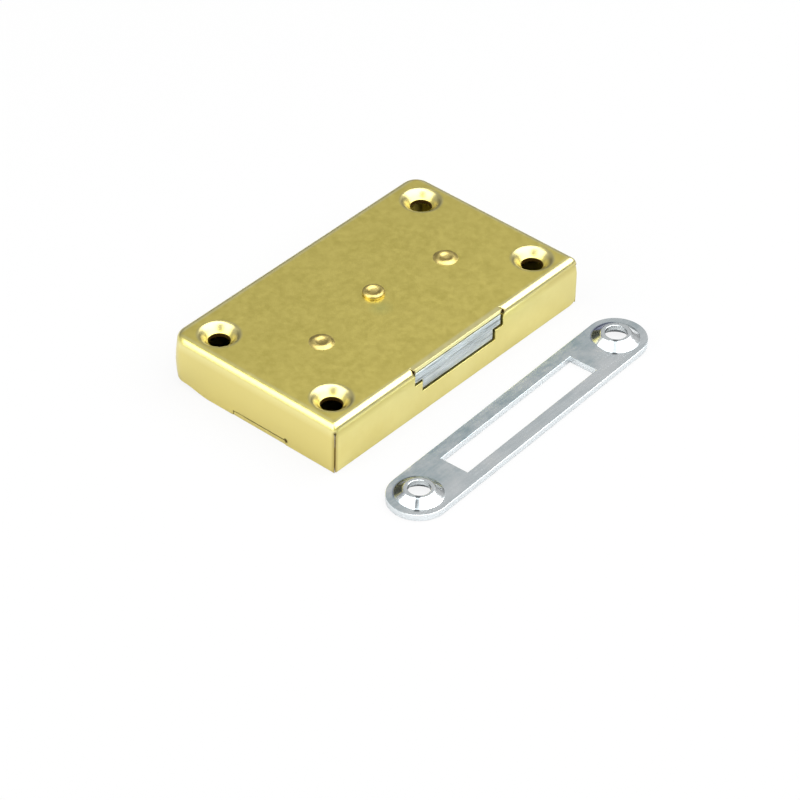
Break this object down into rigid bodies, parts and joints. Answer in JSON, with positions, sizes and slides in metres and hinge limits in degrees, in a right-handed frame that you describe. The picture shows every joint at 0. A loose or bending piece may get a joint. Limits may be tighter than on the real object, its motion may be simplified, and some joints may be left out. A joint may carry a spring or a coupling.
{
  "type": "furniture lock",
  "caption": "Flat surface-mounted furniture lock in a pressed metal case, with a laminated sliding bolt, levers and a drill pin for the key, and a loose strike plate with round ends.",
  "frame": {"origin": "on the axis of the key pin, in the plane of the lock's back, which lies on the door", "axes": "+X along the lock's long side, -Y the way the bolt comes out of the front edge, +Z away from the door, out of the face that shows"},
  "size_m": [0.0674, 0.0591, 0.0108],
  "materials": {
    "case_brass": "satin brass plating on pressed steel sheet",
    "post_brass": "brass-plated steel, riveted",
    "post_steel": "bright turned steel",
    "strike_zinc": "bright zinc plating",
    "bolt_zinc": "zinc-plated punched steel, brushed",
    "lever_brass": "punched sheet brass, as rolled",
    "spring_steel": "blank spring steel strip"
  },
  "bodies": {
    "case": {"lock_case": "case_brass", "cover_plate": "case_brass", "key_pin": "post_brass", "left_pillar": "post_brass", "right_pillar": "post_brass", "lever_pivot": "post_steel", "lever_spacers": "lever_brass", "strike_plate": "strike_zinc"},
    "bolt": {"bolt_plate_1": "bolt_zinc", "bolt_plate_2": "bolt_zinc", "bolt_plate_3": "bolt_zinc", "bolt_plate_4": "bolt_zinc", "bolt_rivets": "post_steel", "bolt_stump": "post_steel"},
    "lever_a": {"lever_1": "lever_brass", "lever_spring_1": "spring_steel"},
    "lever_b": {"lever_2": "lever_brass", "lever_spring_2": "spring_steel"},
    "lever_c": {"lever_3": "lever_brass", "lever_spring_3": "spring_steel"}
  },
  "joints": [
    {"name": "bolt_throw", "type": "slide", "parent": "case", "child": "bolt", "axis": [0, -1, 0], "range_m": [0, 0.007]},
    {"name": "lever_1_lift", "type": "hinge", "parent": "case", "child": "lever_a", "pos_m": [0.012, -0.0135, 0.0043], "axis": [0, 0, -1], "range_deg": [-4, 2.5], "stiffness_Nm_per_rad": 0.01, "springref_deg": -6.88, "deforming": ["lever_spring_1"]},
    {"name": "lever_2_lift", "type": "hinge", "parent": "case", "child": "lever_b", "pos_m": [0.012, -0.0135, 0.00285], "axis": [0, 0, -1], "range_deg": [-4, 2.5], "stiffness_Nm_per_rad": 0.01, "springref_deg": -6.88, "deforming": ["lever_spring_2"]},
    {"name": "lever_3_lift", "type": "hinge", "parent": "case", "child": "lever_c", "pos_m": [0.012, -0.0135, 0.0014], "axis": [0, 0, -1], "range_deg": [-4, 2.5], "stiffness_Nm_per_rad": 0.01, "springref_deg": -6.88, "deforming": ["lever_spring_3"]}
  ]
}
